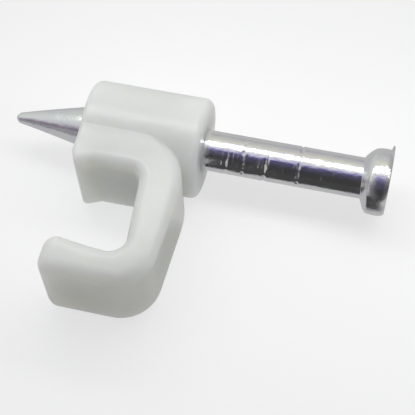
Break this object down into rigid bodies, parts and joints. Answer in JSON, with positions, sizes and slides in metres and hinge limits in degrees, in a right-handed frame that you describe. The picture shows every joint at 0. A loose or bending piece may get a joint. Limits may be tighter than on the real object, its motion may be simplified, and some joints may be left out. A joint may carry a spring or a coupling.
{
  "type": "nail in cable clip",
  "caption": "Moulded cable clip: a round boss with an open hook for a thin cable, and a headed steel nail that slides through the boss to fix it to a wall.",
  "frame": {"origin": "where the nail's axis meets the wall plane, at the boss's wall end", "axes": "+X along the nail from its point to its head, -Y towards the hook's lip, +Z along the cable and up when the clip lies on its side"},
  "size_m": [0.0188, 0.0115, 0.005],
  "materials": {
    "clip_plastic": "satin white moulding, slightly milky",
    "nail_steel": "bright zinc plate with faint drawing marks"
  },
  "bodies": {
    "clip": {"clip_body": "clip_plastic"},
    "driven_nail": {"nail": "nail_steel"}
  },
  "joints": [
    {"name": "nail_drive", "type": "slide", "parent": "clip", "child": "driven_nail", "axis": [-1, 0, 0], "range_m": [0, 0.00777]}
  ]
}
